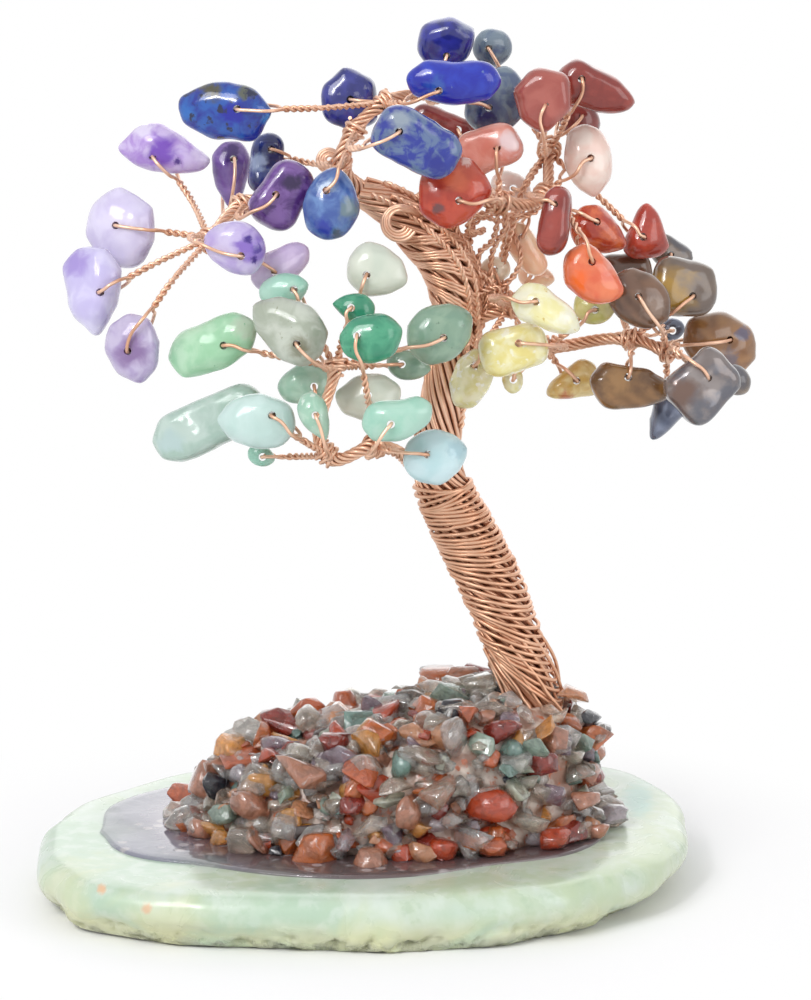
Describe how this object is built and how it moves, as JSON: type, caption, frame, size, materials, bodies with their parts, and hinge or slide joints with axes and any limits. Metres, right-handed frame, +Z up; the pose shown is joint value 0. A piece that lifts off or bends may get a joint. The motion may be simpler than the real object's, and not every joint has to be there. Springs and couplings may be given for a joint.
{
  "type": "gemstone tree ornament",
  "caption": "Small tree ornament: a wrapped copper wire trunk on a polished stone slab carries twisted wire branches hung with drilled tumbled stones in bands of colour.",
  "frame": {"origin": "middle of the slab's flat underside, on the table", "axes": "+Z up along the tree, -Y towards the front of the tree, +X to the right of someone who looks at the front"},
  "size_m": [0.097, 0.0719, 0.1173],
  "materials": {
    "copper_wire": "bright drawn copper wire",
    "amethyst_broad": "polished tumbled stone",
    "amethyst_crest": "polished tumbled stone",
    "amethyst_pear": "polished tumbled stone",
    "amethyst_small": "polished tumbled stone",
    "amethyst_veined": "polished tumbled stone",
    "aqua_egg": "polished tumbled stone",
    "base_slab": "polished banded green stone",
    "carnelian_large": "polished tumbled stone",
    "carnelian_orange": "polished tumbled stone",
    "citrine_clear": "polished tumbled stone",
    "citrine_long": "polished tumbled stone",
    "citrine_small": "polished tumbled stone",
    "emerald_middle": "polished tumbled stone",
    "glue_film": "clear glue film over the stone",
    "gravel_black": "black chips",
    "gravel_clear": "clear and milky quartz chips",
    "gravel_green": "pale green chips",
    "gravel_orange": "orange and amber chips",
    "gravel_red": "tumbled red chips",
    "gravel_violet": "violet quartz chips",
    "green_bean": "polished tumbled stone",
    "green_small": "polished tumbled stone",
    "grey_green_broad": "polished tumbled stone",
    "heap_core": "glued fine gravel",
    "hematite_chips": "polished tumbled stone",
    "jasper_arrow": "polished tumbled stone",
    "jasper_small": "polished tumbled stone",
    "jasper_wedge": "polished tumbled stone",
    "lapis_bar": "polished tumbled stone",
    "lapis_block": "polished tumbled stone",
    "lapis_broad": "polished tumbled stone",
    "lapis_grey": "polished tumbled stone",
    "lapis_hexagon": "polished tumbled stone",
    "lapis_oval": "polished tumbled stone",
    "lapis_small": "polished tumbled stone",
    "peach_chips": "polished tumbled stone",
    "sage_bar": "polished tumbled stone",
    "sage_round": "polished tumbled stone",
    "tiger_eye_banded": "polished tumbled stone",
    "tiger_eye_broad": "polished tumbled stone",
    "tiger_eye_dark": "polished tumbled stone",
    "tiger_eye_faceted": "polished tumbled stone",
    "tiger_eye_small": "polished tumbled stone"
  },
  "bodies": {
    "root": {"amethyst_branch": "copper_wire", "amethyst_broad": "amethyst_broad", "amethyst_crest": "amethyst_crest", "amethyst_pear": "amethyst_pear", "amethyst_small": "amethyst_small", "amethyst_veined": "amethyst_veined", "amethyst_wires": "copper_wire", "aqua_egg": "aqua_egg", "base_slab": "base_slab", "carnelian_large": "carnelian_large", "carnelian_orange": "carnelian_orange", "citrine_branch": "copper_wire", "citrine_clear": "citrine_clear", "citrine_long": "citrine_long", "citrine_small": "citrine_small", "citrine_wires": "copper_wire", "curls": "copper_wire", "emerald_middle": "emerald_middle", "glue_film": "glue_film", "gravel_black": "gravel_black", "gravel_clear": "gravel_clear", "gravel_green": "gravel_green", "gravel_orange": "gravel_orange", "gravel_red": "gravel_red", "gravel_violet": "gravel_violet", "green_bean": "green_bean", "green_branch": "copper_wire", "green_small": "green_small", "green_wires": "copper_wire", "grey_green_broad": "grey_green_broad", "heap_core": "heap_core", "hematite_chips": "hematite_chips", "jasper_arrow": "jasper_arrow", "jasper_branch": "copper_wire", "jasper_small": "jasper_small", "jasper_wedge": "jasper_wedge", "jasper_wires": "copper_wire", "lapis_bar": "lapis_bar", "lapis_block": "lapis_block", "lapis_branch": "copper_wire", "lapis_broad": "lapis_broad", "lapis_grey": "lapis_grey", "lapis_hexagon": "lapis_hexagon", "lapis_oval": "lapis_oval", "lapis_small": "lapis_small", "lapis_wires": "copper_wire", "lower_wrap": "copper_wire", "peach_chips": "peach_chips", "sage_bar": "sage_bar", "sage_round": "sage_round", "tiger_branch": "copper_wire", "tiger_eye_banded": "tiger_eye_banded", "tiger_eye_broad": "tiger_eye_broad", "tiger_eye_dark": "tiger_eye_dark", "tiger_eye_faceted": "tiger_eye_faceted", "tiger_eye_small": "tiger_eye_small", "tiger_wires": "copper_wire", "trunk_bundle": "copper_wire", "upper_wrap": "copper_wire"}
  },
  "joints": []
}
